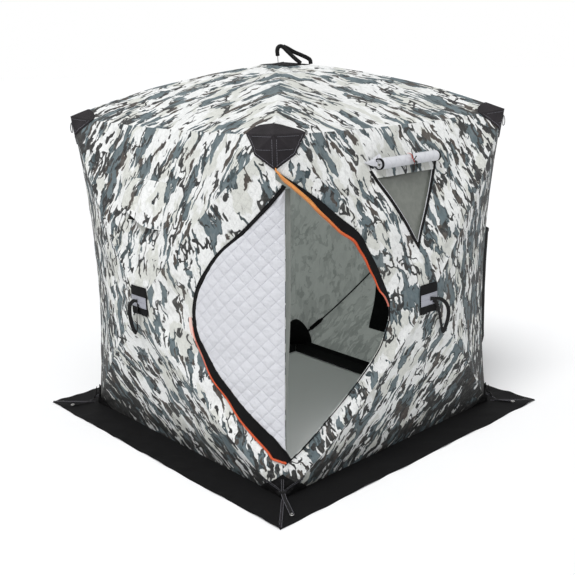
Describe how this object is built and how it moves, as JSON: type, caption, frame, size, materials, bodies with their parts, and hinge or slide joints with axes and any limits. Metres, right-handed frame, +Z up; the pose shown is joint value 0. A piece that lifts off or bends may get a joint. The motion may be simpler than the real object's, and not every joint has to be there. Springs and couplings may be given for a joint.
{
  "type": "pop-up ice fishing shelter",
  "caption": "Square pop-up ice fishing shelter of insulated cloth, pushed out by hubs and bowed rods, with a zipped corner door and a ground skirt.",
  "frame": {"origin": "centre of the cabin on the ground, at the bottom centre of the whole box", "axes": "+Z up, walls square to X and Y, the door across the corner between the +X and the -Y walls"},
  "size_m": [2.25, 2.25, 2.265],
  "materials": {
    "camo_cloth": null,
    "skirt_cloth": "coated black cloth",
    "black_cloth": "black woven cloth",
    "quilted_lining": "white lining with diamond quilting",
    "zip_tape": "black tape with an orange coil",
    "webbing": "black woven webbing",
    "reflective_band": "grey reflective cloth with black edges",
    "rod": "glass-fibre rod",
    "moulding": "moulded",
    "window_film": "clear film",
    "eyelet": "pressed eyelet"
  },
  "bodies": {
    "root": {"front_wall_top": "camo_cloth", "front_wall_bottom": "camo_cloth", "front_wall_left": "camo_cloth", "front_wall_right": "camo_cloth", "right_wall_top": "camo_cloth", "right_wall_bottom": "camo_cloth", "right_wall_left": "camo_cloth", "right_wall_right": "camo_cloth", "back_wall_top": "camo_cloth", "back_wall_bottom": "camo_cloth", "back_wall_left": "camo_cloth", "back_wall_right": "camo_cloth", "left_wall_top": "camo_cloth", "left_wall_bottom": "camo_cloth", "left_wall_left": "camo_cloth", "left_wall_right": "camo_cloth", "roof_front": "camo_cloth", "roof_right": "camo_cloth", "roof_back": "camo_cloth", "roof_left": "camo_cloth", "skirt_front": "skirt_cloth", "skirt_right": "skirt_cloth", "skirt_back": "skirt_cloth", "skirt_left": "skirt_cloth", "front_rods": "rod", "right_rods": "rod", "back_rods": "rod", "left_rods": "rod", "roof_rods": "rod", "hubs": "moulding", "corner_pockets": "black_cloth", "corner_caps": "black_cloth", "base_patches": "black_cloth", "ground_hem": "black_cloth", "door_left_half": "camo_cloth", "door_flap": "quilted_lining", "door_zip": "zip_tape", "window_films": "window_film", "window_borders": "black_cloth", "window_cover_rolls": "quilted_lining", "vent_hoods": "camo_cloth", "hub_patches": "reflective_band", "pull_straps": "webbing", "roof_patch": "black_cloth", "roof_handle": "webbing", "gear_pocket": "black_cloth", "inner_pocket": "black_cloth", "skirt_eyelets": "eyelet"}
  },
  "joints": []
}
